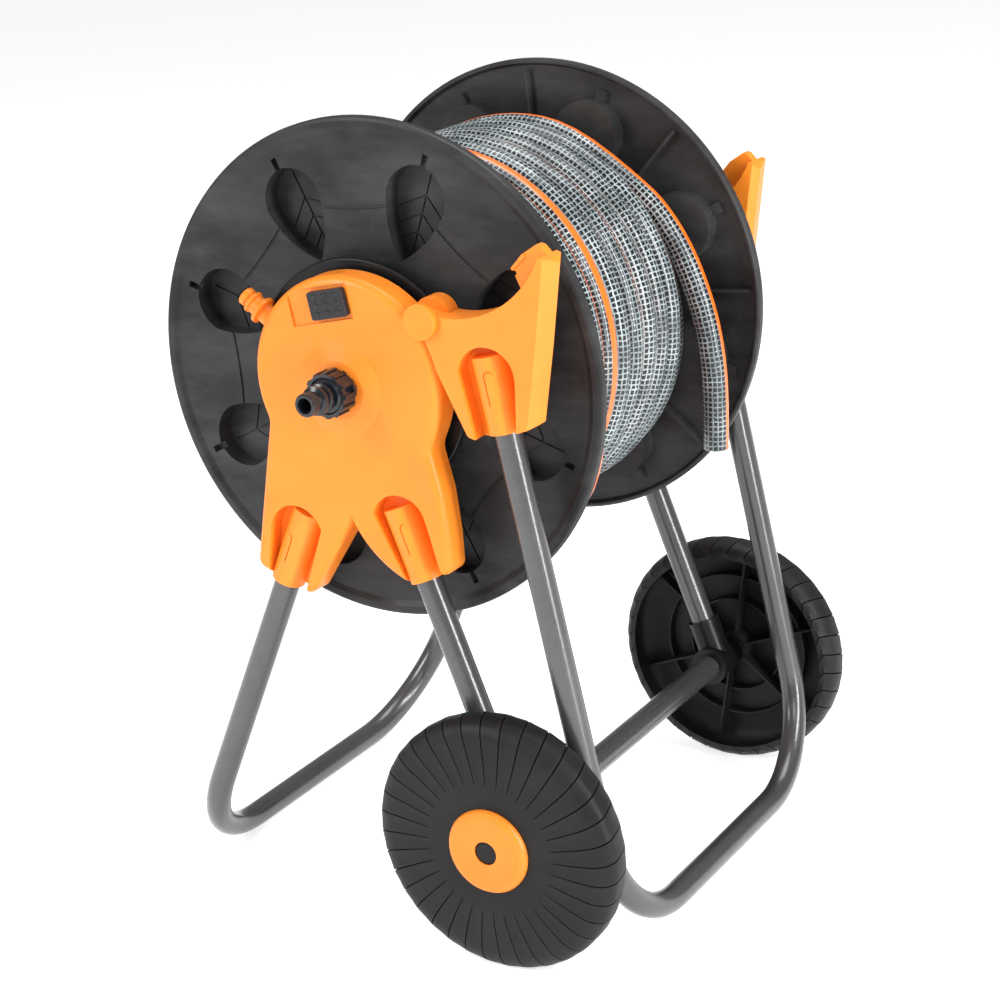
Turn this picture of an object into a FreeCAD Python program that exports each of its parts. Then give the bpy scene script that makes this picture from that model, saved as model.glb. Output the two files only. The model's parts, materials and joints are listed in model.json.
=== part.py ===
import FreeCAD
import Part
import math
import os

# Garden hose reel cart, millimetres, +Z up.
# The cart is drawn with the reel axis over X = 0 and the mid-plane of the frame at Y = 0, the
# inlet side towards -Y and the wheels towards +X. Every piece is then moved by ORIGIN_SHIFT, so
# that the origin lies on the floor under the centre of the cart's bounding box.

V = FreeCAD.Vector
Y_AXIS = V(0, 1, 0)
Z_AXIS = V(0, 0, 1)

# ---- driving dimensions ----
REEL_Z = 387.0            # height of the reel axis
FLANGE_R = 172.0
FLANGE_Y = 126.0          # outer face of each flange, from the mid-plane
RIM_WIDTH = 8.5
RIM_HEIGHT = 8.5
WEB = 2.5                 # wall of the flange
CORE_R = 63.4             # drum core outside, coil inside
COIL_R = 138.0
COIL_Y = (-104.0, 95.0)
HOSE_R = 9.3
HOSE_BORE_R = 6.2

TUBE_R = 9.0              # steel frame tube
TUBE_BORE_R = 7.8
TUBE_Y = 155.0            # mid-line of the legs and of the handle, from the mid-plane
BEND_R = 77.0
FOOT_X = -170.0
FOOT_LEAN = 24.5          # degrees from upright
FOOT_TOP_Z = 290.0
REAR_LEAN = 20.0
REAR_TOP_Z = 300.0
HANDLE_X = 187.0          # crossbar of the folded handle
HANDLE_Z = 15.0
HANDLE_LEAN = 11.0
HANDLE_TOP_Z = 412.0

AXLE_X = 112.0
AXLE_Z = 90.0
WHEEL_R = 90.0
WHEEL_FACE_Y = 200.0
WHEEL_REAR_Y = 168.0
ROD_R = 4.0
RUNNING = 0.05            # radial clearance of every running fit

PLATE_FRONT_Y = 167.0     # outer face of the side plate
PLATE_REAR_Y = 147.0
PLATE_WALL = 3.0
COVER_FRONT_Y = 142.0     # outer face of the cover disc, behind the folding bracket
COVER_REAR_Y = 136.0      # inner face of the black cover behind each side plate
DOME_X = 4.0
DOME_Z = 391.0
DOME_R = 72.0
PIN_X = 67.0              # handle hinge
PIN_Z = 438.0
PIN_R = 5.0
UNFOLD = 142.0            # degrees from folded to upright
CRANK_ANGLE = 225.0
CRANK_R = 105.0
GRIP_END_Y = 252.0
NIPPLE_END_Y = 208.0

# box of the whole cart: foot crossbar to wheel rim, inlet tip to end of the crank grip
ORIGIN_SHIFT = V(
    -((FOOT_X - TUBE_R) + (AXLE_X + WHEEL_R)) / 2,
    -(GRIP_END_Y - NIPPLE_END_Y) / 2,
    0,
)

HOSE_TAIL_ROUTE = [
    (98.5, 84.0, 470.5),
    (113.0, 84.5, 454.5),
    (126.5, 85.0, 433.5),
    (138.0, 85.0, 406.5),
    (146.5, 85.0, 377.5),
    (150.5, 85.0, 346.0),
    (150.5, 85.0, 315.5),
    (149.5, 85.0, 287.5),
]

NODES = {}


# ---- small helpers ----
def cyl_y(x, z, radius, y0, y1):
    """Cylinder along Y between two planes."""
    low = min(y0, y1)
    return Part.makeCylinder(radius, abs(y1 - y0), V(x, low, z), Y_AXIS)


def ring_y(x, z, outer, inner, y0, y1):
    return cyl_y(x, z, outer, y0, y1).cut(cyl_y(x, z, inner, y0 - 1, y1 + 1))


def rod(start, end, radius):
    start = V(*start)
    span = V(*end) - start
    return Part.makeCylinder(radius, span.Length, start, span)


def pipe(start, end, outer, inner):
    return rod(start, end, outer).cut(rod(start, end, inner))


def closed_wire(points, y):
    corners = [V(x, y, z) for x, z in points]
    return Part.makePolygon(corners + corners[:1])


def prism_y(points, y0, y1):
    """Solid between two Y planes from an outline of (x, z) points."""
    low = min(y0, y1)
    return Part.Face(closed_wire(points, low)).extrude(V(0, abs(y1 - y0), 0))


def mirrored(shape):
    """The same piece on the far side of the mid-plane."""
    return shape.mirror(V(0, 0, 0), Y_AXIS)


def polar(angle, radius, x=0.0, z=0.0):
    a = math.radians(angle)
    return x + radius * math.cos(a), z + radius * math.sin(a)


def turned_y(shape, angle, x, z):
    """Copy turned about a line along Y: a positive angle takes +X towards +Z."""
    copy = shape.copy()
    copy.rotate(V(x, 0, z), Y_AXIS, -angle)
    return copy


def revolve_y(profile, x, z):
    """Solid of revolution about a line along Y from (radius, y) points."""
    corners = [V(x + r, y, z) for r, y in profile]
    face = Part.Face(Part.makePolygon(corners + corners[:1]))
    return face.revolve(V(x, 0, z), Y_AXIS, 360)


def group(shapes):
    return Part.makeCompound(shapes)


def fillet_at(shape, radius, test):
    edges = [edge for edge in shape.Edges if test(edge)]
    return shape.makeFillet(radius, edges)


def fillet_corners(shape, radius, corners):
    """Round the edges along Y that pass through the given (x, z) corners."""
    def at_corner(edge):
        point = edge.Vertexes[0].Point
        return along_y(edge) and any(math.hypot(point.x - x, point.z - z) < 0.1 for x, z in corners)

    return fillet_at(shape, radius, at_corner)


def along_y(edge):
    first, last = edge.Vertexes[0].Point, edge.Vertexes[-1].Point
    return abs(first.x - last.x) < 1e-6 and abs(first.z - last.z) < 1e-6


def on_plane_y(edge, y):
    return all(abs(v.Point.y - y) < 1e-6 for v in edge.Vertexes) and abs(edge.CenterOfMass.y - y) < 1e-6


def add(name, shape):
    NODES[name] = shape


def add_pair(name, near_shape):
    add(name + "_near", near_shape)
    add(name + "_far", mirrored(near_shape))


# ---- steel tube frame ----
def rounded_path(points, radii):
    """Straight runs joined by tangent arcs, one radius per inner point."""
    points = [V(*p) for p in points]
    edges = []
    start = points[0]
    for before, corner, after, radius in zip(points, points[1:], points[2:], radii):
        into = (corner - before).normalize()
        out = (after - corner).normalize()
        half_turn = into.getAngle(out) / 2
        reach = radius * math.tan(half_turn)
        arc_start = corner - into * reach
        arc_end = corner + out * reach
        middle = corner + (out - into).normalize() * (radius / math.cos(half_turn) - radius)
        edges.append(Part.LineSegment(start, arc_start).toShape())
        edges.append(Part.Arc(arc_start, middle, arc_end).toShape())
        start = arc_end
    edges.append(Part.LineSegment(start, points[-1]).toShape())
    return Part.Wire(edges)


def swept(path, radius):
    start = path.OrderedVertexes[0].Point
    tangent = path.OrderedEdges[0].tangentAt(path.OrderedEdges[0].FirstParameter)
    section = Part.Wire([Part.makeCircle(radius, start, tangent)])
    return path.makePipeShell([section], True, False)


def bent_tube(points, radii):
    path = rounded_path(points, radii)
    return swept(path, TUBE_R).cut(swept(path, TUBE_BORE_R))


def leg_point(foot_x, foot_z, lean, z):
    """Point (x, z) at height z on a leg that starts at its foot and leans by lean degrees."""
    return foot_x + (z - foot_z) * math.tan(math.radians(lean)), z


def u_frame(foot_x, foot_z, lean, top_z):
    top_x, top_z = leg_point(foot_x, foot_z, lean, top_z)
    route = [
        (top_x, -TUBE_Y, top_z),
        (foot_x, -TUBE_Y, foot_z),
        (foot_x, TUBE_Y, foot_z),
        (top_x, TUBE_Y, top_z),
    ]
    return bent_tube(route, [BEND_R, BEND_R])


def rear_leg_xz(distance):
    """Point on the rear leg's mid-line at a distance from the wheel axle."""
    return polar(90 + REAR_LEAN, distance, AXLE_X, AXLE_Z)


REAR_LEG_START = 14.5
REAR_LEG_END = (REAR_TOP_Z - AXLE_Z) / math.cos(math.radians(REAR_LEAN))


def make_frame_tubes():
    add("foot_frame", u_frame(FOOT_X, TUBE_R, FOOT_LEAN, FOOT_TOP_Z))
    x0, z0 = rear_leg_xz(REAR_LEG_START)
    x1, z1 = rear_leg_xz(REAR_LEG_END)
    add_pair("rear_leg", pipe((x0, -TUBE_Y, z0), (x1, -TUBE_Y, z1), TUBE_R, TUBE_BORE_R))
    add("axle_tube", ring_y(AXLE_X, AXLE_Z, TUBE_R, TUBE_BORE_R, -160, 160))


# ---- axle, tees and wheels ----
TEE_INNER_Y = 138.0
TEE_OUTER_Y = 172.0
TEE_R = 13.0
TEE_FLOOR_Y = 160.0
TEE_LEG_R = 12.0
TEE_LEG_REACH = 34.0
SPACER_END_Y = 176.0
HUB_R = 13.0
CAP_R = 29.5
CAP_FACE_Y = 205.0
CAP_HOLE_R = 8.3
SPOKES = 6


def axle_tee():
    body = cyl_y(AXLE_X, AXLE_Z, TEE_R, -TEE_OUTER_Y, -TEE_INNER_Y)
    x, z = rear_leg_xz(TEE_LEG_REACH)
    body = body.fuse(rod((AXLE_X, -TUBE_Y, AXLE_Z), (x, -TUBE_Y, z), TEE_LEG_R))
    body = body.fuse(cyl_y(AXLE_X, AXLE_Z, TEE_R + 1.2, -TEE_INNER_Y - 4, -TEE_INNER_Y))
    x0, z0 = rear_leg_xz(REAR_LEG_START)
    x1, z1 = rear_leg_xz(TEE_LEG_REACH + 1)
    body = body.cut(rod((x0, -TUBE_Y, z0), (x1, -TUBE_Y, z1), TUBE_R))
    body = body.cut(cyl_y(AXLE_X, AXLE_Z, TUBE_R, -TEE_FLOOR_Y, 0))
    return body.cut(cyl_y(AXLE_X, AXLE_Z, ROD_R, -TEE_OUTER_Y - 1, 0))


def wheel_spacer():
    """Ribbed collar between the tee and the wheel hub."""
    rib, groove = 10.5, 9.0
    profile = [(ROD_R, -SPACER_END_Y), (ROD_R, -TEE_OUTER_Y), (rib, -TEE_OUTER_Y)]
    for step in range(2):
        y = -TEE_OUTER_Y - 1 - 1.4 * step
        profile += [(rib, y), (groove, y), (groove, y - 0.7), (rib, y - 0.7)]
    profile.append((rib, -SPACER_END_Y))
    return revolve_y(profile, AXLE_X, AXLE_Z)


def wheel():
    """Moulded wheel, open at the back: tread, face, hub tube and spokes."""
    face, rear = -WHEEL_FACE_Y, -WHEEL_REAR_Y
    outside = [
        (ROD_R + RUNNING, face), (CAP_R + 13, face), (WHEEL_R - 14, face + 1.2), (WHEEL_R - 6, face + 3.5),
        (WHEEL_R - 2, face + 7), (WHEEL_R, face + 12), (WHEEL_R, face + 21), (WHEEL_R - 3, face + 27),
        (WHEEL_R - 7.5, rear),
    ]
    inside = [
        (WHEEL_R - 11, rear), (WHEEL_R - 6, face + 20), (WHEEL_R - 6, face + 13), (WHEEL_R - 12, face + 7),
        (WHEEL_R - 20, face + 4.2), (HUB_R, face + 3.2), (HUB_R, -SPACER_END_Y), (ROD_R + RUNNING, -SPACER_END_Y),
    ]
    body = revolve_y(outside + inside, AXLE_X, AXLE_Z)
    for radius in (38.0, 58.0):
        body = body.fuse(ring_y(AXLE_X, AXLE_Z, radius + 1, radius - 1, face + 3.5, face + 12))
    spoke = Part.makeBox(WHEEL_R - 8 - HUB_R + 1, 15, 2, V(AXLE_X + HUB_R - 1, face + 3.5, AXLE_Z - 1))
    for k in range(SPOKES):
        body = body.fuse(turned_y(spoke, 20 + 60 * k, AXLE_X, AXLE_Z))
    return body.removeSplitter()


def wheel_cap():
    """Shallow domed disc on the wheel face, with a round opening at its centre."""
    profile = [
        (CAP_HOLE_R, -CAP_FACE_Y), (CAP_R - 4, -CAP_FACE_Y + 0.3), (CAP_R - 1, -CAP_FACE_Y + 1.4),
        (CAP_R, -CAP_FACE_Y + 3), (CAP_R, -WHEEL_FACE_Y), (CAP_R - 2.5, -WHEEL_FACE_Y),
        (CAP_R - 3, -CAP_FACE_Y + 2.8), (CAP_HOLE_R + 2, -CAP_FACE_Y + 2), (CAP_HOLE_R + 2, -WHEEL_FACE_Y),
        (CAP_HOLE_R, -WHEEL_FACE_Y),
    ]
    return revolve_y(profile, AXLE_X, AXLE_Z)


def wheel_plug():
    """Dark cup that closes the opening of the cap over the end of the axle rod."""
    profile = [
        (0, -CAP_FACE_Y + 0.4), (6.5, -CAP_FACE_Y + 0.5), (CAP_HOLE_R, -CAP_FACE_Y + 1.2),
        (CAP_HOLE_R, -WHEEL_FACE_Y), (CAP_HOLE_R - 1.3, -WHEEL_FACE_Y), (CAP_HOLE_R - 1.3, -CAP_FACE_Y + 2.2),
        (0, -CAP_FACE_Y + 2.2),
    ]
    return revolve_y(profile, AXLE_X, AXLE_Z)


def make_axle():
    add_pair("axle_tee", axle_tee())
    add_pair("wheel_spacer", wheel_spacer())
    rod_end = WHEEL_FACE_Y + 1.8
    add("axle_rod", cyl_y(AXLE_X, AXLE_Z, ROD_R, -rod_end, rod_end))
    nut = ring_y(AXLE_X, AXLE_Z, 6.6, ROD_R, -WHEEL_FACE_Y - 1.2, -WHEEL_FACE_Y - 0.3)
    add("axle_push_nuts", group([nut, mirrored(nut)]))
    add_pair("wheel", wheel())
    add_pair("wheel_cap", wheel_cap())
    add_pair("wheel_plug", wheel_plug())


# ---- side plates ----
SOCKET_R = 12.0
RECESS_FLOOR_Y = 154.0
RECESS_RUN_OUT = 25.0
LUG_R = 13.0
LUG_FACE_Y = 154.3        # the bracket's knuckle runs against the plate's lug here
INLET_HOLE_R = 10.0
FRONT_ROUND = 6.0


CROTCH = (0.0, 294.0)
INNER_FOOT = (-38.5, 236.0)
OUTER_FOOT = (-82.0, 253.5)
WHEEL_SIDE_FOOT = (75.5, 267.0)
MIDDLE_FOOT = (40.0, 256.5)
NOTCH = (65.0, 351.0)
DOME_LEFT = 205.4         # where the dome's arc meets the straight left flank


def plate_outline(inset):
    """Closed outline of the side plate, moved inwards by inset."""
    right = polar(-23, DOME_R, DOME_X, DOME_Z)
    left = polar(DOME_LEFT, DOME_R, DOME_X, DOME_Z)
    points = [right, NOTCH, (72.0, 322), (75.0, 292), WHEEL_SIDE_FOOT, MIDDLE_FOOT]
    corners = [V(x, -PLATE_REAR_Y, z) for x, z in points]
    edges = [Part.LineSegment(a, b).toShape() for a, b in zip(corners, corners[1:])]
    crotch, inner_foot = V(CROTCH[0], -PLATE_REAR_Y, CROTCH[1]), V(INNER_FOOT[0], -PLATE_REAR_Y, INNER_FOOT[1])
    edges.append(Part.Arc(corners[-1], V(16.5, -PLATE_REAR_Y, 272.0), crotch).toShape())
    edges.append(Part.LineSegment(crotch, inner_foot).toShape())
    outer_foot = V(OUTER_FOOT[0], -PLATE_REAR_Y, OUTER_FOOT[1])
    edges.append(Part.LineSegment(inner_foot, outer_foot).toShape())
    end = V(left[0], -PLATE_REAR_Y, left[1])
    edges.append(Part.LineSegment(outer_foot, end).toShape())
    top = V(DOME_X, -PLATE_REAR_Y, DOME_Z + DOME_R)
    edges.append(Part.Arc(end, top, corners[0]).toShape())
    face = Part.Face(Part.Wire(edges))
    if inset:
        face = face.makeOffset2D(-inset, 0)
    return face


def recess(outline, grow, y0, y1):
    """Round-topped recess around a leg socket, open at the bottom, between two Y planes.

    The outline is two points up one side, the top of the arch and two points down the other side.
    """
    low = min(y0, y1)
    foot_a, side_a, top, side_b, foot_b = [V(x, low, z) for x, z in outline]
    foot_a += (foot_a - side_a).normalize() * RECESS_RUN_OUT
    foot_b += (foot_b - side_b).normalize() * RECESS_RUN_OUT
    wire = Part.Wire([
        Part.LineSegment(foot_a, side_a).toShape(), Part.Arc(side_a, top, side_b).toShape(),
        Part.LineSegment(side_b, foot_b).toShape(), Part.LineSegment(foot_b, foot_a).toShape(),
    ])
    face = Part.Face(wire)
    if grow:
        face = face.makeOffset2D(grow, 0)
    return face.extrude(V(0, abs(y1 - y0), 0))


TONGUE_HALF = 2.9
TONGUE_SLIT = 0.8
TONGUE_DEPTH = 1.5


def tongue_slit(top, foot):
    """Narrow slit, round at its top, around the snap tongue in a socket's wall."""
    length = math.dist(top, foot)
    across_x, across_z = (top[1] - foot[1]) / length, (foot[0] - top[0]) / length
    front, floor = -PLATE_FRONT_Y - 1, -PLATE_FRONT_Y + TONGUE_DEPTH
    tongues = []
    for half in (TONGUE_HALF + TONGUE_SLIT, TONGUE_HALF):
        corners = [(x + side * half * across_x, z + side * half * across_z)
                   for x, z, side in ((*top, 1), (*foot, 1), (*foot, -1), (*top, -1))]
        tongues.append(prism_y(corners, front, floor).fuse(cyl_y(top[0], top[1], half, front, floor)))
    return tongues[0].cut(tongues[1])


LEGS = (
    (FOOT_X, TUBE_R, FOOT_LEAN, FOOT_TOP_Z),
    (AXLE_X, AXLE_Z, -REAR_LEAN, REAR_TOP_Z + 1),
)


def leg_rod(leg, radius, z0, z1):
    foot_x, foot_z, lean, _ = leg
    xa, za = leg_point(foot_x, foot_z, lean, z0)
    xb, zb = leg_point(foot_x, foot_z, lean, z1)
    return rod((xa, -TUBE_Y, za), (xb, -TUBE_Y, zb), radius)


RECESSES = (
    ((-72.0, 246.0), (-65.5, 285.5), (-48.0, 301.0), (-24.5, 286.0), (-41.5, 240.0)),
    ((42.0, 256.0), (18.5, 303.0), (37.5, 318.0), (58.5, 304.0), (70.0, 261.0)),
)
SOCKET_BOTTOM_Z = (243.0, 258.0)
PLATE_TONGUES = (((-53.0, 277.0), (-60.2, 261.0)), ((42.2, 295.0), (48.5, 278.0)))


def side_plate(shaft_hole_r):
    body = plate_outline(0).extrude(V(0, PLATE_REAR_Y - PLATE_FRONT_Y, 0))
    body = fillet_corners(body, 7.5, (MIDDLE_FOOT, INNER_FOOT, OUTER_FOOT, WHEEL_SIDE_FOOT))
    body = fillet_corners(body, 14.0, (NOTCH, polar(DOME_LEFT, DOME_R, DOME_X, DOME_Z)))
    body = fillet_at(body, FRONT_ROUND, lambda e: on_plane_y(e, -PLATE_FRONT_Y))

    cavity = plate_outline(PLATE_WALL).extrude(V(0, PLATE_REAR_Y - PLATE_FRONT_Y + PLATE_WALL, 0))
    for leg, outline in zip(LEGS, RECESSES):
        cavity = cavity.cut(recess(outline, PLATE_WALL, -PLATE_FRONT_Y, -RECESS_FLOOR_Y + PLATE_WALL))
        cavity = cavity.cut(leg_rod(leg, SOCKET_R, 200, leg[3] + 6))
    cavity = cavity.cut(cyl_y(PIN_X, PIN_Z, LUG_R, -PLATE_FRONT_Y, 0))
    cavity = cavity.cut(cyl_y(0, REEL_Z, shaft_hole_r + 5, -PLATE_FRONT_Y, 0))
    body = body.cut(cavity)

    for leg, outline, bottom in zip(LEGS, RECESSES, SOCKET_BOTTOM_Z):
        socket = leg_rod(leg, SOCKET_R, bottom, leg[3] + 6)
        pocket = recess(outline, 0, -PLATE_FRONT_Y - 1, -RECESS_FLOOR_Y)
        body = body.cut(pocket.cut(socket)).fuse(socket)
        body = body.cut(leg_rod(leg, TUBE_R, 200, leg[3]))
    for top, foot in PLATE_TONGUES:
        body = body.cut(tongue_slit(top, foot))

    body = body.fuse(cyl_y(PIN_X, PIN_Z, LUG_R, -LUG_FACE_Y + 0.3, -COVER_FRONT_Y))
    for x, z in COVER_SCREWS:
        boss = cyl_y(x, z, SCREW_BOSS_R, -PLATE_FRONT_Y + 2, -PLATE_REAR_Y)
        body = body.fuse(boss).cut(cyl_y(x, z, SCREW_R, -PLATE_REAR_Y - SCREW_DEPTH, 0))
    body = body.cut(cyl_y(PIN_X, PIN_Z, LUG_R + 0.6, -PLATE_FRONT_Y - 1, -LUG_FACE_Y + 0.3))
    body = body.cut(cyl_y(PIN_X, PIN_Z, PIN_R, -PLATE_FRONT_Y, 0))

    boss = revolve_y(
        [(0, -PLATE_FRONT_Y + 1), (32, -PLATE_FRONT_Y + 1), (32, -PLATE_FRONT_Y), (20, -PLATE_FRONT_Y - 3),
         (0, -PLATE_FRONT_Y - 3)],
        0, REEL_Z,
    )
    body = body.fuse(boss)
    body = body.cut(cyl_y(0, REEL_Z, shaft_hole_r, -PLATE_FRONT_Y - 10, 0))
    return cut_lock_openings(body).removeSplitter()


# ---- handle lock: recess, slot and slider in each side plate ----
LOCK_TILT = 11.0          # the slider runs along a line tilted by this much from level
LOCK_X = -3.0
LOCK_Z = 444.5
HOOK_SLOT_X = (-42.0, 1.5)
BUTTON_LENGTH = 28.0
BUTTON_HEIGHT = 19.0
BUTTON_FACE_Y = 170.6
LOCK_RECESS = 1.4
KEEPER_END = -14.0
SPRING_LENGTH = 17.0
SPRING_PITCH = 2.8
SPRING_R = 2.6
SPRING_WIRE_R = 0.45
SPRING_Y = -160.6


def lock_box(s0, s1, t0, t1, y0, y1):
    """Box in the slider's own directions: s along its travel, t across it."""
    low = min(y0, y1)
    box = Part.makeBox(s1 - s0, abs(y1 - y0), t1 - t0, V(LOCK_X + s0, low, LOCK_Z + t0))
    return turned_y(box, LOCK_TILT, LOCK_X, LOCK_Z)


def cut_lock_openings(plate):
    """Shallow recess and through slot for the slider, and the hook's slot in the dome's wall."""
    recess = lock_box(-32, 16, -12, 12, -PLATE_FRONT_Y - 1, -PLATE_FRONT_Y + LOCK_RECESS)
    slot = lock_box(-17, 8, -7.5, 7.5, -PLATE_FRONT_Y - 1, -PLATE_FRONT_Y + PLATE_WALL + 1)
    plate = plate.cut(recess).cut(slot)
    slot_start, slot_end = HOOK_SLOT_X
    corner = V(slot_start, -HOOK_Y - 2.2, 425)
    hook_slot = Part.makeBox(slot_end - slot_start, HOOK_WIDTH + 2.8, 60, corner)
    keep = cyl_y(DOME_X, DOME_Z, DOME_R - PLATE_WALL - 1, -PLATE_FRONT_Y, 0)
    stop_s = KEEPER_END - SPRING_LENGTH - 0.2
    stop = lock_box(stop_s - 2.5, stop_s, -4, 4, -PLATE_FRONT_Y + PLATE_WALL - 0.5, SPRING_Y + 3)
    return plate.cut(hook_slot.cut(keep)).fuse(stop)


def lock_slider():
    seat_y = -PLATE_FRONT_Y + LOCK_RECESS
    half_length, half_height = BUTTON_LENGTH / 2, BUTTON_HEIGHT / 2
    button = lock_box(-half_length, half_length, -half_height, half_height, -BUTTON_FACE_Y, seat_y - 0.3)
    button = fillet_at(button, 2.0, along_y)
    button = fillet_at(button, 0.8, lambda e: on_plane_y(e, -BUTTON_FACE_Y))
    stem = lock_box(-7, 7, -7.2, 7.2, seat_y - 0.4, -PLATE_FRONT_Y + PLATE_WALL + 0.4)
    keeper = lock_box(KEEPER_END, 10, -9, 9, -PLATE_FRONT_Y + PLATE_WALL + 0.3, -PLATE_FRONT_Y + PLATE_WALL + 2.3)
    slider = button.fuse(stem).fuse(keeper)
    for row in (-1, 0, 1):
        for column in (-1, 0, 1):
            x, z = polar(LOCK_TILT, 8.0 * column, LOCK_X, LOCK_Z)
            x, z = polar(LOCK_TILT + 90, 5.8 * row, x, z)
            dot = Part.makeSphere(2.6, V(x, -BUTTON_FACE_Y + 1.4, z))
            slider = slider.fuse(dot)
    return slider.removeSplitter()


def lock_spring():
    """Compression spring between the slider and the stop rib, drawn as its coil."""
    helix = Part.makeHelix(SPRING_PITCH, SPRING_LENGTH - 2 * SPRING_WIRE_R, SPRING_R)
    section = Part.Wire([Part.makeCircle(SPRING_WIRE_R, V(SPRING_R, 0, 0), Y_AXIS)])
    spring = Part.Wire(helix.Edges).makePipeShell([section], True, True)
    spring.rotate(V(0, 0, 0), Y_AXIS, -90)
    x, z = LOCK_X + KEEPER_END - 0.1 - SPRING_WIRE_R, LOCK_Z
    spring.translate(V(x, SPRING_Y, z))
    return turned_y(spring, LOCK_TILT, LOCK_X, LOCK_Z)


# ---- inner covers ----
COVER_R = 82.0
COVER_PAD_R = 65.0        # raised pad that the side plate is screwed against
SPIGOT_R = 20.0
SPIGOT_END_Y = 110.0


def inner_cover(bore_r):
    """Black disc behind the side plate, with the spigot that the reel turns on."""
    body = cyl_y(0, REEL_Z, COVER_R, -COVER_FRONT_Y, -COVER_REAR_Y)
    body = fillet_at(body, 1.2, lambda e: abs(e.BoundBox.XLength - 2 * COVER_R) < 0.1 and len(e.Vertexes) == 1)
    body = body.fuse(cyl_y(DOME_X, DOME_Z, COVER_PAD_R, -PLATE_REAR_Y, -COVER_REAR_Y - 1))
    body = body.fuse(cyl_y(0, REEL_Z, SPIGOT_R, -COVER_REAR_Y - 1, -SPIGOT_END_Y))
    body = body.fuse(cyl_y(0, REEL_Z, 27, -COVER_REAR_Y - 1, -COVER_REAR_Y + 4))
    body = body.cut(cyl_y(0, REEL_Z, bore_r, -PLATE_FRONT_Y, 0))
    body = body.cut(cyl_y(PIN_X, PIN_Z, PIN_R, -PLATE_FRONT_Y, 0))
    for leg in LEGS:
        body = body.cut(leg_rod(leg, SOCKET_R, 200, leg[3] + 6))
    for x, z in COVER_SCREWS:
        body = body.cut(cyl_y(x, z, SCREW_R, -PLATE_FRONT_Y, 0))
    return body


COVER_SCREWS = [polar(a, 55, 0, REEL_Z) for a in (30, 150, 200, 340)]
SCREW_R = 2.2
SCREW_DEPTH = 10.0
SCREW_BOSS_R = 5.0


def cover_screw(x, z):
    head = cyl_y(x, z, 4.0, -COVER_REAR_Y, -COVER_REAR_Y + 2.6)
    return head.fuse(cyl_y(x, z, SCREW_R, -PLATE_REAR_Y - SCREW_DEPTH, -COVER_REAR_Y))


# ---- water inlet ----
NIPPLE_R = 7.8
NUT_R = 15.7
NUT_FACE_Y = 184.0
SLEEVE_END_Y = 118.0
SWIVEL_R = 6.0


def inlet_nipple():
    """Quick-connect nipple with its collars, and the sleeve that the swivel turns in."""
    front = -PLATE_FRONT_Y - 3
    outside = [
        (INLET_HOLE_R, -SLEEVE_END_Y), (INLET_HOLE_R, front), (12.5, front), (12.5, -NUT_FACE_Y + 1),
        (10.5, -NUT_FACE_Y - 1), (8.0, -NUT_FACE_Y - 1.5), (8.0, -188.0), (10.2, -188.8), (10.2, -191.0),
        (8.0, -192.0), (8.0, -193.5), (9.8, -194.2), (9.8, -196.2), (6.9, -197.4), (6.9, -200.5),
        (NIPPLE_R, -201.2), (NIPPLE_R, -202.6), (6.6, -202.8), (6.6, -204.8), (NIPPLE_R, -205.0),
        (NIPPLE_R, -NIPPLE_END_Y + 0.8), (NIPPLE_R - 0.8, -NIPPLE_END_Y),
    ]
    inside = [
        (5.4, -NIPPLE_END_Y), (4.6, -NIPPLE_END_Y + 3), (4.6, -150.0),
        (SWIVEL_R + RUNNING, -148.0), (SWIVEL_R + RUNNING, -SLEEVE_END_Y),
    ]
    return revolve_y(outside + inside, 0, REEL_Z)


def inlet_o_ring():
    centre = V(0, -203.8, REEL_Z)
    return Part.makeTorus(7.35, 0.75, centre, Y_AXIS)


def inlet_nut():
    """Ribbed nut that clamps the nipple to the side plate."""
    front = -PLATE_FRONT_Y - 3
    body = ring_y(0, REEL_Z, NUT_R - 1.2, 12.5, -NUT_FACE_Y, front)
    rib = Part.makeBox(3.2, NUT_FACE_Y + front - 1.0, 3.0, V(NUT_R - 3.2, -NUT_FACE_Y + 0.5, REEL_Z - 1.5))
    for k in range(12):
        body = body.fuse(turned_y(rib, 30 * k, 0, REEL_Z))
    tab = Part.makeBox(5.5, 3.0, 4.0, V(NUT_R - 3, -176.0, REEL_Z - 2))
    body = body.fuse(turned_y(tab, 15, 0, REEL_Z))
    return body.removeSplitter()


def accessory_holder():
    """Moulded nipple beside the plate where the spray gun's connector is parked."""
    end = (-81.0, -152.0, 441.5)
    foot = (-54.0, -152.0, 422.0)
    axis = V(*end) - V(*foot)
    length = axis.Length
    axis.normalize()
    profile = [
        (0, 0), (7.0, 0), (7.0, length - 19), (9.8, length - 18), (9.8, length - 15.5), (7.0, length - 14.5),
        (6.6, length - 10), (7.8, length - 9), (7.8, length - 7.2), (5.4, length - 6.4), (5.4, length - 5),
        (6.4, length - 4.4), (6.4, length - 1), (5.6, length), (0, length),
    ]
    corners = [V(r, 0, h) for r, h in profile]
    body = Part.Face(Part.makePolygon(corners + corners[:1])).revolve(V(0, 0, 0), Z_AXIS, 360)
    body.Placement = FreeCAD.Placement(V(*foot), FreeCAD.Rotation(Z_AXIS, axis))
    keep_out = cyl_y(DOME_X, DOME_Z, DOME_R, -PLATE_FRONT_Y, 0)
    return body.cut(keep_out)


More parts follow.
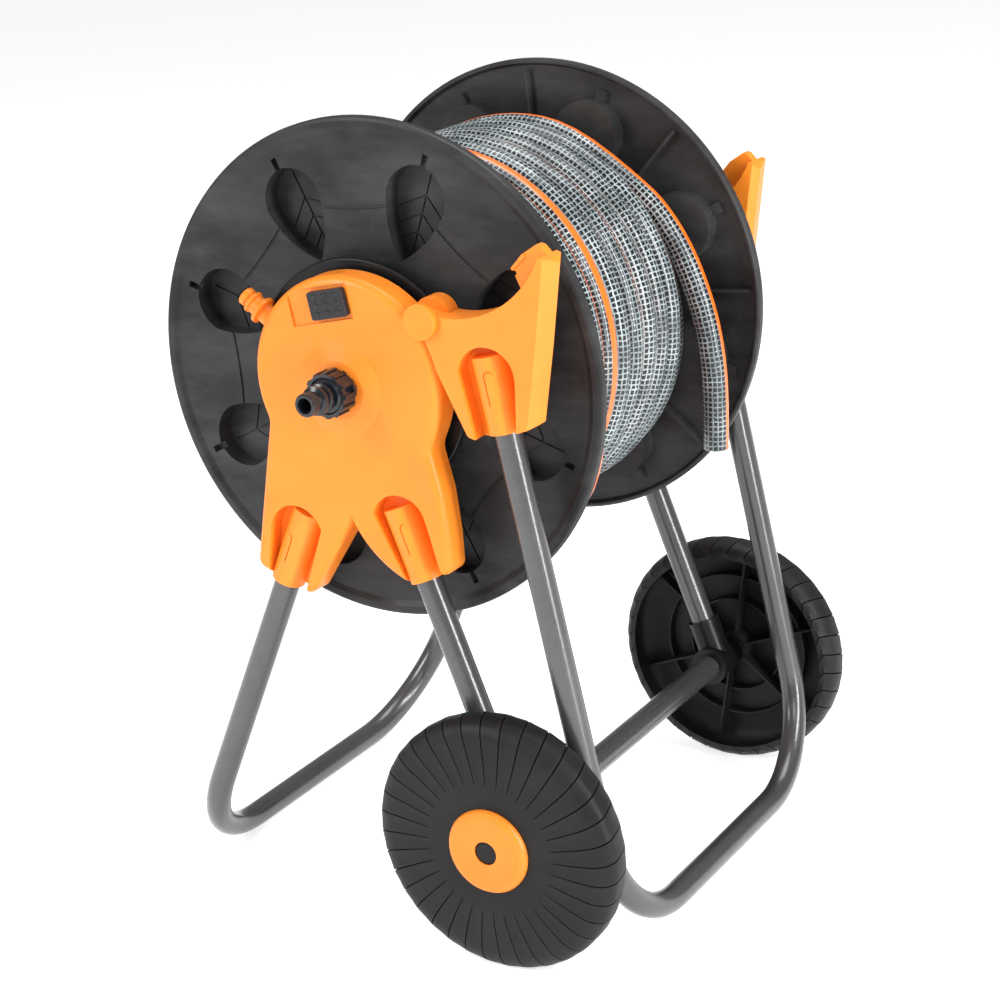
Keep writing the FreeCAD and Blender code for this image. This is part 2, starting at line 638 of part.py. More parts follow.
def make_side_plates():
    add("side_plate_near", side_plate(INLET_HOLE_R))
    add("side_plate_far", mirrored(side_plate(SHAFT_R + 0.5)))
    add("inner_cover_near", inner_cover(INLET_HOLE_R))
    add("inner_cover_far", mirrored(inner_cover(SHAFT_R + RUNNING)))
    screws = [cover_screw(x, z) for x, z in COVER_SCREWS]
    add("cover_screws", group(screws + [mirrored(s) for s in screws]))
    add_pair("lock_slider", lock_slider())
    add_pair("lock_spring", lock_spring())
    add("inlet_nipple", inlet_nipple())
    add("inlet_o_ring", inlet_o_ring())
    add("inlet_nut", inlet_nut())
    add("accessory_holder", accessory_holder())


# ---- folding handle ----
HOOK_WIDTH = 8.0
HOOK_Y = 157.0            # outer face of the hook
BRACKET_FRONT_Y = 167.0
BRACKET_REAR_Y = 142.5
RIDGE_Y = 150.0           # the bracket's long edge bulges out to a ridge here
RIDGE_WIDTH = 4.0
KNUCKLE_R = 12.6
SEAT_GAP = 0.8
RIDGE = ((144.0, 374.0), (152.8, 425.6), (160.5, 478.5))
BEVEL_EDGES = (((135.2, 322.4), RIDGE[1]), (RIDGE[1], (162.5, 492.2)))
BRACKET_TONGUE = ((113.8, 405.0), (117.4, 386.5))
HANDLE_RECESS = ((101.0, 364.0), (91.3, 406.5), (111.5, 424.4), (133.0, 402.5), (131.8, 367.0))


def unfolded_dome():
    """Centre (x, z) of the side plate's dome as the folded bracket sees it once it is unfolded."""
    angle = math.degrees(math.atan2(DOME_Z - PIN_Z, DOME_X - PIN_X)) - UNFOLD
    return polar(angle, math.hypot(DOME_X - PIN_X, DOME_Z - PIN_Z), PIN_X, PIN_Z)


def bevel_wedge(edge_xz, y0, y1, shift):
    """Wedge that bevels a bracket edge: nothing at plane y0, shift wide at plane y1."""
    ends = []
    for x, z in edge_xz:
        corners = [V(x, y0, z), V(x - shift, y1, z), V(x + 30, y1, z), V(x + 30, y0, z)]
        ends.append(Part.makePolygon(corners + corners[:1]))
    return Part.makeLoft(ends, True, True)


def handle_bracket():
    seat_x, seat_z = unfolded_dome()
    front, rear = -BRACKET_FRONT_Y, -BRACKET_REAR_Y
    leg = (HANDLE_X, HANDLE_Z, -HANDLE_LEAN, HANDLE_TOP_Z)
    low_corners = ((62, 434), (96, 364), (103, 362), (122, 366))
    high_corners = ((158.0, 482.5), (150, 486), (80, 455), (70, 450))
    body = prism_y([*low_corners, *RIDGE, *high_corners], front, rear)
    body = body.fuse(cyl_y(PIN_X, PIN_Z, KNUCKLE_R, front, rear))
    body = body.cut(cyl_y(seat_x, seat_z, DOME_R + SEAT_GAP, front - 1, 0))
    folded_dome = cyl_y(DOME_X, DOME_Z, DOME_R + SEAT_GAP, front - 1, 0)
    body = body.cut(folded_dome.cut(cyl_y(PIN_X, PIN_Z, KNUCKLE_R, front - 1, -LUG_FACE_Y)))
    body = fillet_corners(body, 4.0, ((96, 364), (144.0, 374.0)))
    body = fillet_corners(body, 1.5, ((160.5, 478.5), (158.0, 482.5)))
    for edge in BEVEL_EDGES:
        for face_y in (front - 0.1, rear + 0.1):
            body = body.cut(bevel_wedge(edge, -RIDGE_Y, face_y, RIDGE_WIDTH))

    socket = leg_rod(leg, SOCKET_R, 367, HANDLE_TOP_Z + 5)
    pocket = recess(HANDLE_RECESS, 0, front - 1, -RECESS_FLOOR_Y)
    body = body.cut(pocket.cut(socket)).fuse(socket)
    hollow = prism_y(
        [(76, 424), (99, 373), (117, 371), (136, 376), (141, 402), (148, 450), (138, 453), (112, 437), (86, 434)],
        -BRACKET_FRONT_Y + 9, 0,
    )
    hollow = hollow.cut(leg_rod(leg, SOCKET_R, 300, HANDLE_TOP_Z + 5))
    hollow = hollow.cut(recess(HANDLE_RECESS, PLATE_WALL, front - 1, -RECESS_FLOOR_Y + PLATE_WALL))
    hollow = hollow.cut(cyl_y(PIN_X, PIN_Z, LUG_R + 4, front, 0))
    body = body.cut(hollow)
    body = body.cut(leg_rod(leg, TUBE_R, 300, HANDLE_TOP_Z)).cut(tongue_slit(*BRACKET_TONGUE))
    body = body.fuse(hook())

    body = body.cut(cyl_y(PIN_X, PIN_Z, LUG_R + 0.8, -LUG_FACE_Y, 0))
    body = body.cut(cyl_y(PIN_X, PIN_Z, PIN_R + RUNNING, front - 1, 0))
    return body.removeSplitter()


def hook():
    """Flat hook at the bracket's far corner that enters the side plate's dome when unfolded."""
    plate = prism_y(
        [(150, 452), (155.5, 470), (156.5, 482.5), (150.5, 489.2), (147.5, 490), (136.7, 483), (129.6, 474.5),
         (130.2, 473), (132.6, 472.6), (133.2, 471), (131.9, 469.5), (136, 460.5), (141, 455)],
        -HOOK_Y, -HOOK_Y + HOOK_WIDTH,
    )
    lip = prism_y([(138.4, 484.1), (129.6, 474.5), (130.6, 472.9), (140.5, 482.5)], -HOOK_Y - 1.2, -HOOK_Y + 1)
    return plate.fuse(lip)


def hinge_pin():
    """Round-headed pin through the bracket's knuckle, the side plate's lug and the cover."""
    head = cyl_y(PIN_X, PIN_Z, 12.0, -BRACKET_FRONT_Y - 4.8, -BRACKET_FRONT_Y - 0.3)
    head = fillet_at(head, 1.2, lambda e: on_plane_y(e, -BRACKET_FRONT_Y - 4.8))
    return head.fuse(cyl_y(PIN_X, PIN_Z, PIN_R, -BRACKET_FRONT_Y - 1, -COVER_REAR_Y))


def make_handle():
    add("handle_tube", u_frame(HANDLE_X, HANDLE_Z, -HANDLE_LEAN, HANDLE_TOP_Z))
    add_pair("handle_bracket", handle_bracket())
    add_pair("hinge_pin", hinge_pin())


# ---- reel ----
LEAVES = 8
LEAF_START = 71.0
LEAF_TIP_R = 82.0
LEAF_WIDE_R = 127.0
LEAF_END_R = 149.0
LEAF_HALF = 22.5
POCKET_FLOOR_Y = 109.5
HUB_OUT_R = 28.0
HUB_END_Y = 108.0
WEB_FACE_Y = 124.0
VEIN = 1.2


def leaf_prism(grow, y0, y1):
    """Pointed leaf outline, tip towards the reel axis, extruded between two Y planes."""
    low = min(y0, y1)
    tip = V(LEAF_TIP_R - 1.6 * grow, low, 0)
    end = V(LEAF_END_R + grow, low, 0)
    edges = []
    for side in (1, -1):
        wide = V(LEAF_WIDE_R, low, side * (LEAF_HALF + grow))
        inner_mid = V(LEAF_TIP_R + 22, low, side * (16.2 + grow))
        outer_mid = V(LEAF_END_R - 6.5 + 0.7 * grow, low, side * (15.0 + 0.7 * grow))
        edges.append((Part.Arc(tip, inner_mid, wide), Part.Arc(wide, outer_mid, end)))
    loop = [
        edges[0][0].toShape(), edges[0][1].toShape(), edges[1][1].toShape().reversed(),
        edges[1][0].toShape().reversed(),
    ]
    return Part.Face(Part.Wire(loop)).extrude(V(0, abs(y1 - y0), 0))


def leaf_veins():
    """Grooves in the floor of a leaf pocket: a midrib and pairs of side veins."""
    floor = -POCKET_FLOOR_Y
    veins = [Part.makeBox(LEAF_END_R - LEAF_TIP_R - 8, VEIN + 1, 1.4, V(LEAF_TIP_R + 4, floor - 1, -0.7))]
    for distance, length in ((100.0, 20.0), (113.0, 25.0), (126.0, 24.0)):
        for side in (1, -1):
            vein = Part.makeBox(length, VEIN + 1, 1.1, V(distance, floor - 1, -0.55))
            vein.rotate(V(distance, 0, 0), Y_AXIS, side * 128)
            veins.append(vein)
    leaf = leaf_prism(-0.2, floor - 2, floor + 3)
    return group([v.common(leaf) for v in veins])


def vine_groove():
    """Shallow groove that sags from one leaf to the next."""
    low = -WEB_FACE_Y - 1
    lines = []
    for offset in (1.3, -1.3):
        ends = [V(*_xyz(polar(a, 117 + offset), low)) for a in (8, 37)]
        middle = V(*_xyz(polar(22.5, 111.5 + offset), low))
        lines.append((ends, Part.Arc(ends[0], middle, ends[1])))
    (outer_ends, outer), (inner_ends, inner) = lines
    loop = Part.Wire([
        outer.toShape(), Part.LineSegment(outer_ends[1], inner_ends[1]).toShape(),
        inner.toShape().reversed(), Part.LineSegment(inner_ends[0], outer_ends[0]).toShape(),
    ])
    return Part.Face(loop).extrude(V(0, 2.0, 0))


def _xyz(point, y):
    return point[0], y, point[1]


def flange():
    """Moulded reel flange: rolled rim, thin web, leaf-shaped pockets, ribs and hub."""
    rim = -FLANGE_Y
    profile = [
        (FLANGE_R - RIM_HEIGHT, rim + 1.2), (FLANGE_R - 6.2, rim), (FLANGE_R - 2.6, rim), (FLANGE_R - 0.7, rim + 0.8),
        (FLANGE_R, rim + 2.6), (FLANGE_R, rim + RIM_WIDTH - 1.5), (FLANGE_R - 1.5, rim + RIM_WIDTH),
        (FLANGE_R - 3.0, rim + RIM_WIDTH), (FLANGE_R - 4.0, rim + RIM_WIDTH - 1.5),
        (FLANGE_R - 5.0, -WEB_FACE_Y + WEB), (HUB_OUT_R, -WEB_FACE_Y + WEB), (HUB_OUT_R, -HUB_END_Y),
        (SPIGOT_R + RUNNING, -HUB_END_Y), (SPIGOT_R + RUNNING, -WEB_FACE_Y - 4), (HUB_OUT_R - 2, -WEB_FACE_Y - 4),
        (HUB_OUT_R, -WEB_FACE_Y), (FLANGE_R - RIM_HEIGHT - 1.5, -WEB_FACE_Y),
    ]
    body = revolve_y(profile, 0, 0)
    step = 360 / LEAVES
    boss = leaf_prism(WEB, -WEB_FACE_Y + 0.5, -POCKET_FLOOR_Y + WEB)
    pocket = leaf_prism(0, -WEB_FACE_Y - 3, -POCKET_FLOOR_Y)
    stem = Part.makeBox(10, 8, 4.4, V(LEAF_END_R - 2, -WEB_FACE_Y - 3, -2.2))
    stem_boss = Part.makeBox(12, 5.5, 8, V(LEAF_END_R - 2, -WEB_FACE_Y + 0.5, -4))
    rib = Part.makeBox(FLANGE_R - 8 - CORE_R, 6, 2, V(CORE_R, -WEB_FACE_Y + WEB - 0.5, -1))
    bosses, cuts = [], []
    for k in range(LEAVES):
        angle = LEAF_START + step * k
        bosses += [turned_y(s, angle, 0, 0) for s in (boss, stem_boss)]
        bosses.append(turned_y(rib, angle + step / 2, 0, 0))
        cuts += [turned_y(s, angle, 0, 0) for s in (pocket, stem, vine_groove())]
    body = body.fuse(bosses)
    body = body.cut(cuts)
    veins = leaf_veins()
    body = body.cut([turned_y(veins, LEAF_START + step * k, 0, 0) for k in range(LEAVES)])
    screw_holes = [cyl_y(x, z, 2.0, -WEB_FACE_Y - 5, -100) for x, z in DRUM_SCREWS]
    body = body.cut(screw_holes)
    body.translate(V(0, 0, REEL_Z))
    return body.removeSplitter()


DRUM_SCREWS = [polar(a, 53.0) for a in (45, 135, 225, 315)]
DRUM_BOSS_R = 8.0
DRUM_BOSS_DEPTH = 15.0


def drum_screw(x, z):
    head = cyl_y(x, REEL_Z + z, 4.2, -WEB_FACE_Y - 2.4, -WEB_FACE_Y)
    return head.fuse(cyl_y(x, REEL_Z + z, 2.0, -WEB_FACE_Y - 1, -WEB_FACE_Y + 16))


# The hose starts on a barb below the reel axis, curls up the drum's inside and through a slot,
# and lies on the drum as the first turn of its first layer.
LEAD_Y = -95.0
LEAD_DROP = 41.0
LEAD_ROUTE = [
    (9.0, LEAD_Y, 346.0), (-18.0, LEAD_Y, 346.0), (-42.6, LEAD_Y, 359.0), (-58.5, LEAD_Y, 382.0),
    (-62.0, LEAD_Y, 409.5), (-52.2, LEAD_Y, 435.5), (-31.5, LEAD_Y, 454.2), (-18.0, LEAD_Y, 457.6),
]
LEAD_START_X = 9.0
ELBOW_X = 29.0
ELBOW_R = 7.5
BARB_END_X = -2.0
SWIVEL_BORE_R = 4.2


def lead_tube(radius):
    return swept(rounded_path(LEAD_ROUTE, run_radii(LEAD_ROUTE)), radius)


def barb():
    z = REEL_Z - LEAD_DROP
    return rod((ELBOW_X, LEAD_Y, z), (BARB_END_X, LEAD_Y, z), HOSE_BORE_R)


def drum_core():
    """Moulded drum between the flanges, with screw bosses at both ends and a slot for the hose's start."""
    end = WEB_FACE_Y - WEB
    body = ring_y(0, REEL_Z, CORE_R, CORE_R - 3, -end, end)
    for x, z in DRUM_SCREWS:
        boss = cyl_y(x, REEL_Z + z, DRUM_BOSS_R, -end, -end + DRUM_BOSS_DEPTH)
        body = body.fuse([boss, mirrored(boss)])
    body = body.common(cyl_y(0, REEL_Z, CORE_R, -end, end))
    for x, z in DRUM_SCREWS:
        body = body.cut(cyl_y(x, REEL_Z + z, 2.0, -end, -end + DRUM_BOSS_DEPTH))
        body = body.cut(cyl_y(x, REEL_Z + z, 2.0, end - DRUM_BOSS_DEPTH, end))
    return body.cut(lead_tube(HOSE_R + 0.6)).removeSplitter()


SWIVEL_END_Y = 146.0
SWIVEL_SEALS = (-140.0, -134.0)
HUB_PLATE_Y = 105.0


def swivel_elbow():
    """Water swivel: spigot in the inlet sleeve, disc on the flange hub, elbow and barb for the hose."""
    z = REEL_Z - LEAD_DROP
    axis, corner = (0, LEAD_Y, REEL_Z), (ELBOW_X, LEAD_Y, z)
    spigot = cyl_y(0, REEL_Z, SWIVEL_R, -SWIVEL_END_Y, -HUB_PLATE_Y)
    disc = cyl_y(0, REEL_Z, HUB_OUT_R, -HUB_END_Y, -HUB_PLATE_Y)
    block = cyl_y(0, REEL_Z, 10.0, -HUB_PLATE_Y - 1, LEAD_Y + 9)
    arm = rod(axis, corner, ELBOW_R)
    knee = Part.makeSphere(ELBOW_R, V(*corner))
    collar = rod(corner, (LEAD_START_X + 3, LEAD_Y, z), ELBOW_R)
    body = spigot.fuse([disc, block, arm, knee, collar, barb()])
    body = body.cut(cyl_y(0, REEL_Z, SWIVEL_BORE_R, -SWIVEL_END_Y - 1, LEAD_Y))
    body = body.cut(rod(axis, corner, SWIVEL_BORE_R))
    body = body.cut(rod(corner, (BARB_END_X - 1, LEAD_Y, z), SWIVEL_BORE_R))
    for y in SWIVEL_SEALS:
        body = body.cut(ring_y(0, REEL_Z, SWIVEL_R + 1, 4.9, y - 0.8, y + 0.8))
    return body.removeSplitter()


def swivel_o_rings():
    return group([Part.makeTorus(5.45, 0.55, V(0, y, REEL_Z), Y_AXIS) for y in SWIVEL_SEALS])


SHAFT_R = 10.0
SHAFT_END_Y = 174.0


def drive_shaft():
    """Stub that carries the crank, bolted to the far flange's hub and running in the cover."""
    disc = cyl_y(0, REEL_Z, HUB_OUT_R, HUB_PLATE_Y, HUB_END_Y)
    shaft = cyl_y(0, REEL_Z, SHAFT_R, HUB_PLATE_Y, SHAFT_END_Y - 0.5)
    square = Part.makeBox(12, 8, 12, V(-6, SHAFT_END_Y - 0.5, REEL_Z - 6))
    body = disc.fuse([shaft, square])
    return body.cut(cyl_y(0, REEL_Z, 2.4, SHAFT_END_Y - 14, SHAFT_END_Y + 10)).removeSplitter()


CRANK_Y = (173.5, 181.5)


def crank_arm():
    tip_x, tip_z = CRANK_R, 0.0
    y0, y1 = CRANK_Y
    plate = prism_y([(0, -13), (tip_x, -10), (tip_x, 10), (0, 13)], y0 + 1.5, y1)
    body = cyl_y(0, 0, 17.0, y0, y1 + 1).fuse([plate, cyl_y(tip_x, tip_z, 12.0, y0 + 1.5, y1)])
    slot = prism_y([(22, -7.5), (tip_x - 18, -5.5), (tip_x - 18, 5.5), (22, 7.5)], y0, y1 - 3)
    body = body.cut(slot)
    body = body.cut(cyl_y(tip_x, tip_z, 4.0, y0 - 1, y1 + 1))
    body = body.cut(cyl_y(tip_x, tip_z, 7.5, y0 - 1, y0 + 3.0))
    body = turned_y(body, CRANK_ANGLE, 0, 0)
    body.translate(V(0, 0, REEL_Z))
    body = body.cut(cyl_y(0, REEL_Z, SHAFT_R, 0, SHAFT_END_Y - 0.5))
    body = body.cut(Part.makeBox(12, 8, 12, V(-6, SHAFT_END_Y - 0.5, REEL_Z - 6)))
    return body.cut(cyl_y(0, REEL_Z, 2.4, 0, 200)).removeSplitter()


def crank_screw():
    head = cyl_y(0, REEL_Z, 7.0, CRANK_Y[1] + 1, CRANK_Y[1] + 4.5)
    return head.fuse(cyl_y(0, REEL_Z, 2.4, SHAFT_END_Y - 12, CRANK_Y[1] + 2))


def crank_pin():
    """Shouldered pin riveted in the arm; its head holds the grip on."""
    x, z = polar(CRANK_ANGLE, CRANK_R, 0, REEL_Z)
    foot = cyl_y(x, z, 7.5, CRANK_Y[0] + 1.5, CRANK_Y[0] + 3.0)
    shank = cyl_y(x, z, 4.0, CRANK_Y[0] + 2, GRIP_END_Y - 3)
    head = cyl_y(x, z, 7.0, GRIP_END_Y - 4.5, GRIP_END_Y - 1.5)
    return foot.fuse([shank, head])


def crank_grip():
    x, z = polar(CRANK_ANGLE, CRANK_R, 0, REEL_Z)
    y0 = CRANK_Y[1] + 0.5
    outside = [
        (4.0 + RUNNING, y0), (11.0, y0), (13.0, y0 + 3), (12.0, y0 + 18), (13.6, y0 + 38), (14.0, GRIP_END_Y - 8),
        (11.5, GRIP_END_Y - 1), (10.0, GRIP_END_Y), (8.0, GRIP_END_Y), (8.0, GRIP_END_Y - 5),
        (4.0 + RUNNING, GRIP_END_Y - 5),
    ]
    return revolve_y(outside, x, z)


def run_radii(points):
    """Arc radius at each inner point: 0.45 of the shorter run over the tangent of half the turn."""
    radii = []
    corners = [V(*p) for p in points]
    for before, corner, after in zip(corners, corners[1:], corners[2:]):
        into, out = corner - before, after - corner
        radii.append(0.45 * min(into.Length, out.Length) / math.tan(into.getAngle(out) / 2))
    return radii


def hose_stretch(name, route):
    """Plain tube of hose along a route, with its radii and volume printed for checking."""
    radii = run_radii(route)
    path = rounded_path(route, radii)
    solid = swept(path, HOSE_R)
    expected = math.pi * HOSE_R ** 2 * path.Length
    print(name, "radii", [round(r) for r in radii], "length", round(path.Length, 1))
    print(name, "volume", round(solid.Volume), "section times length", round(expected))
    return solid


def hose_coil():
    """Outer shape of the whole winding, with grooves where its first turn lands and its last lifts off."""
    winding = ring_y(0, REEL_Z, COIL_R, CORE_R, COIL_Y[0], COIL_Y[1])
    return winding.cut([NODES["hose_tail"], lead_tube(HOSE_R)])


def hose_clamp():
    z = REEL_Z - LEAD_DROP
    band = pipe((-1, LEAD_Y, z), (7, LEAD_Y, z), HOSE_R + 0.9, HOSE_R)
    lug = Part.makeBox(6, 5, 5, V(0, LEAD_Y - 2.5, z - HOSE_R - 4.5))
    lug = lug.cut(rod((-2, LEAD_Y, z), (8, LEAD_Y, z), HOSE_R + 0.4))
    return band.fuse(lug)


def make_reel():
    near_flange = flange()
    add_pair("flange", near_flange)
    add("drum_core", drum_core())
    screws = [drum_screw(x, z) for x, z in DRUM_SCREWS]
    add("drum_screws", group(screws + [mirrored(s) for s in screws]))
    add("swivel_elbow", swivel_elbow())
    add("swivel_o_rings", swivel_o_rings())
    add("hose_clamp", hose_clamp())
    add("hose_lead", hose_stretch("lead", LEAD_ROUTE).cut(barb()))
    add("hose_tail", hose_stretch("tail", HOSE_TAIL_ROUTE))
    add("hose_coil", hose_coil())
    add("drive_shaft", drive_shaft())
    add("crank_arm", crank_arm())
    add("crank_screw", crank_screw())
    add("crank_pin", crank_pin())
    add("crank_grip", crank_grip())


def main():
    make_frame_tubes()
    make_axle()
    make_side_plates()
    make_handle()
    make_reel()
    os.makedirs("parts", exist_ok=True)
    for name, shape in NODES.items():
        moved = shape.copy()
        moved.translate(ORIGIN_SHIFT)
        if not moved.isValid() or not moved.Solids:
            print("INVALID", name, moved.ShapeType, len(moved.Solids))
        moved.exportStep("parts/" + name + ".step")
        print(name, len(moved.Solids), round(moved.Volume))
    print("shift", ORIGIN_SHIFT, "nodes", len(NODES))


main()
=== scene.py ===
import json
import math

import bpy
from mathutils import Matrix, Vector


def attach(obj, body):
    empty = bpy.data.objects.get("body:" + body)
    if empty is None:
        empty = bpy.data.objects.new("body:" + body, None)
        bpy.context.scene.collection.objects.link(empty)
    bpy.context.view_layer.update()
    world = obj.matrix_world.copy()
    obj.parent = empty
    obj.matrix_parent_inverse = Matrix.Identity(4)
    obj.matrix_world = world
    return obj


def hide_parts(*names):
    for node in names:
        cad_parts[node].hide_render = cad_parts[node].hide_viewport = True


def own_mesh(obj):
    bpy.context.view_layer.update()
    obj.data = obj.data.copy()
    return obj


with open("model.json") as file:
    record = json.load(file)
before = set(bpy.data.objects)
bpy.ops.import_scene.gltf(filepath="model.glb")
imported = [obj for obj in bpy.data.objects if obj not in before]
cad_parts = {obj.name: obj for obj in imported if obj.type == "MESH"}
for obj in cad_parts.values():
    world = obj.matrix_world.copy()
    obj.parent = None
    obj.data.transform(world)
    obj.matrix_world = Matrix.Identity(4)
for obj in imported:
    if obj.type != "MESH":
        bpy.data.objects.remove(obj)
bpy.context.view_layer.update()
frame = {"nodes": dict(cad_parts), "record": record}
NODES = frame["nodes"]

# Lengths are in millimetres from a point on the floor under the reel's axis and on its mid-plane,
# and place() turns them into the frame's metres. The hose's two routes and its bore's depth are
# in the frame's metres already.
SHIFT = Vector((-11.5, -22.0, 0.0))
REEL_Z = 387.0
AXLE_X, AXLE_Z = 112.0, 90.0


def place(x, y, z):
    return (Vector((x, y, z)) + SHIFT) / 1000


def link(obj):
    bpy.context.scene.collection.objects.link(obj)
    return obj


# ---------------------------------------------------------------- camera
# Azimuth, elevation and roll in degrees, the place in metres, and the lens in millimetres.
CAMERA_TURNS = (31.0733, 18.4209, -3.5086)
CAMERA_PLACE = (0.86076, -1.44219, 0.81153)
CAMERA_LENS = 86.92


def add_camera():
    azimuth, elevation, roll = (math.radians(a) for a in CAMERA_TURNS)
    back = Vector((math.sin(azimuth) * math.cos(elevation), -math.cos(azimuth) * math.cos(elevation),
                   math.sin(elevation)))
    right = Vector((math.cos(azimuth), math.sin(azimuth), 0))
    up = back.cross(right)
    turned_right = math.cos(roll) * right + math.sin(roll) * up
    turned_up = math.cos(roll) * up - math.sin(roll) * right
    data = bpy.data.cameras.new("photo_camera")
    data.sensor_width = 36.0
    data.lens = CAMERA_LENS
    data.clip_end = 100
    camera = link(bpy.data.objects.new("photo_camera", data))
    matrix = Matrix((turned_right, turned_up, back)).transposed().to_4x4()
    matrix.translation = Vector(CAMERA_PLACE)
    camera.matrix_world = matrix
    bpy.context.scene.camera = camera


add_camera()

# ---------------------------------------------------------------- hose
HOSE_R = 9.3
HOSE_BORE_R = 6.2
POINTS_PER_SPAN = 4
# Control points from the swivel to the drum's slot.
LEAD_ROUTE = (
    (-0.0025, -0.117, 0.346), (-0.0295, -0.117, 0.346), (-0.0541, -0.117, 0.359), (-0.07, -0.117, 0.382),
    (-0.0735, -0.117, 0.4095), (-0.0637, -0.117, 0.4355), (-0.043, -0.117, 0.4542),
)
# Control points of the free end, over the edge of the coil and down.
TAIL_ROUTE = (
    (0.087, 0.062, 0.4705), (0.1015, 0.0625, 0.4545), (0.115, 0.063, 0.4335), (0.1265, 0.063, 0.4065),
    (0.135, 0.063, 0.3775), (0.139, 0.063, 0.346), (0.139, 0.063, 0.3155), (0.138, 0.063, 0.2875),
)
# Radii of the hose's middle line in each layer, and where its last turn crosses back over them.
LAYER_1, LAYER_2, LAYER_3, LAYER_4 = 72.9, 91.5, 110.1, 128.7
TOP_R = 147.4
NEAR_Y, FAR_Y, NEXT_FAR_Y = -95.0, 84.5, 65.5
START_ANGLE = 104.3
TURN_STEP = 20.0
FULL_LAYER, STEP_UP = 3419.8, 120
# Each stage of the winding: degrees turned, then the radius and Y that it ends at.
STAGES = (
    (FULL_LAYER, LAYER_1, FAR_Y), (STEP_UP, LAYER_2, FAR_Y),
    (FULL_LAYER, LAYER_2, NEAR_Y), (STEP_UP, LAYER_3, NEAR_Y),
    (FULL_LAYER, LAYER_3, FAR_Y), (STEP_UP, LAYER_4, FAR_Y),
    (120, LAYER_4, NEXT_FAR_Y), (2995, LAYER_4, NEAR_Y),
    (60, TOP_R, NEAR_Y), (160, TOP_R, FAR_Y), (50, LAYER_4, FAR_Y), (78, LAYER_4, FAR_Y),
)
WOUND = sum(stage[0] for stage in STAGES)


def winding_points():
    """Control points of the wound turns, from the drum's slot to where the free end lifts off."""
    points = []
    count = round(WOUND / TURN_STEP)
    swell = 1 / math.cos(math.radians(TURN_STEP / 2))
    for k in range(count):
        turned = (k + 0.5) * WOUND / count
        radius, y, left = LAYER_1, NEAR_Y, turned
        for degrees, end_radius, end_y in STAGES:
            part = min(left / degrees, 1.0)
            radius += (end_radius - radius) * part
            y += (end_y - y) * part
            left -= degrees
            if left <= 0:
                break
        angle = math.radians(START_ANGLE - turned)
        radius *= swell
        points.append(tuple(place(radius * math.cos(angle), y, REEL_Z + radius * math.sin(angle))))
    return points


def spline_line(points, per_point):
    """Points along the smooth spline with the given control points."""
    data = bpy.data.curves.new("hose_route", "CURVE")
    data.dimensions = "3D"
    data.resolution_u = per_point
    spline = data.splines.new("NURBS")
    spline.points.add(len(points) - 1)
    for point, place_at in zip(spline.points, points):
        point.co = (*place_at, 1.0)
    spline.order_u = 3
    spline.use_endpoint_u = True
    route = link(bpy.data.objects.new("hose_route", data))
    mesh = bpy.data.meshes.new_from_object(route)
    line = [v.co.copy() for v in mesh.vertices]
    bpy.data.objects.remove(route)
    bpy.data.curves.remove(data)
    bpy.data.meshes.remove(mesh)
    return line


SIDES = 20
BORE_DEPTH = 0.022
# Where the count of degrees turned starts at the swivel. It only places the stripe.
COUNT_START = -150.0
# The coloured stripe lies in the groove towards the far flange, except on one turn that shows it.
HIDDEN_STRIPE, SHOWN_STRIPE, TAIL_STRIPE = -1.04, 0.02, -0.22
SHOWN_TURN, SHOWN_SPAN, LAST_SPAN, LAST_EASE = 12675.0, 150.0, 330.0, 60
WANDER, WANDER_RATE = 0.36, 0.31


def stripe_angle(turned):
    """Where the coloured stripe sits round the hose, in radians from outwards, after the given turning."""
    wander = WANDER * math.sin(math.radians(WANDER_RATE * turned))
    shown = math.exp(-(((turned - SHOWN_TURN) / SHOWN_SPAN) ** 4))
    last = min(max((turned - WOUND + LAST_SPAN) / LAST_EASE, 0), 1)
    angle = HIDDEN_STRIPE + wander
    angle += (SHOWN_STRIPE - angle) * shown
    return angle + (TAIL_STRIPE - angle) * last


def tube_walls(line):
    """Vertices in rings round the line, their faces, each ring's stripe and length, and the full length."""
    axis = place(0, 0, REEL_Z)
    verts, faces, rings = [], [], []
    length = 0.0
    turned, last_angle = COUNT_START, None
    for i, p in enumerate(line):
        ahead = line[min(i + 1, len(line) - 1)]
        behind = line[max(i - 1, 0)]
        tangent = (ahead - behind).normalized()
        out = Vector((p.x - axis.x, 0, p.z - axis.z))
        angle = math.degrees(math.atan2(out.z, out.x))
        if last_angle is not None:
            turned += (last_angle - angle + 180) % 360 - 180
        last_angle = angle
        out = (out - tangent * out.dot(tangent)).normalized()
        side = tangent.cross(out)
        if i:
            length += (p - behind).length
        stripe = stripe_angle(max(0.0, min(turned, WOUND)))
        for k in range(SIDES):
            phi = 2 * math.pi * k / SIDES
            verts.append(p + (out * math.cos(phi) + side * math.sin(phi)) * HOSE_R / 1000)
        rings.append((stripe, length))
        if i:
            a, b = (i - 1) * SIDES, i * SIDES
            for k in range(SIDES):
                n = (k + 1) % SIDES
                faces.append((a + k, a + n, b + n, b + k))
    return verts, faces, rings, length


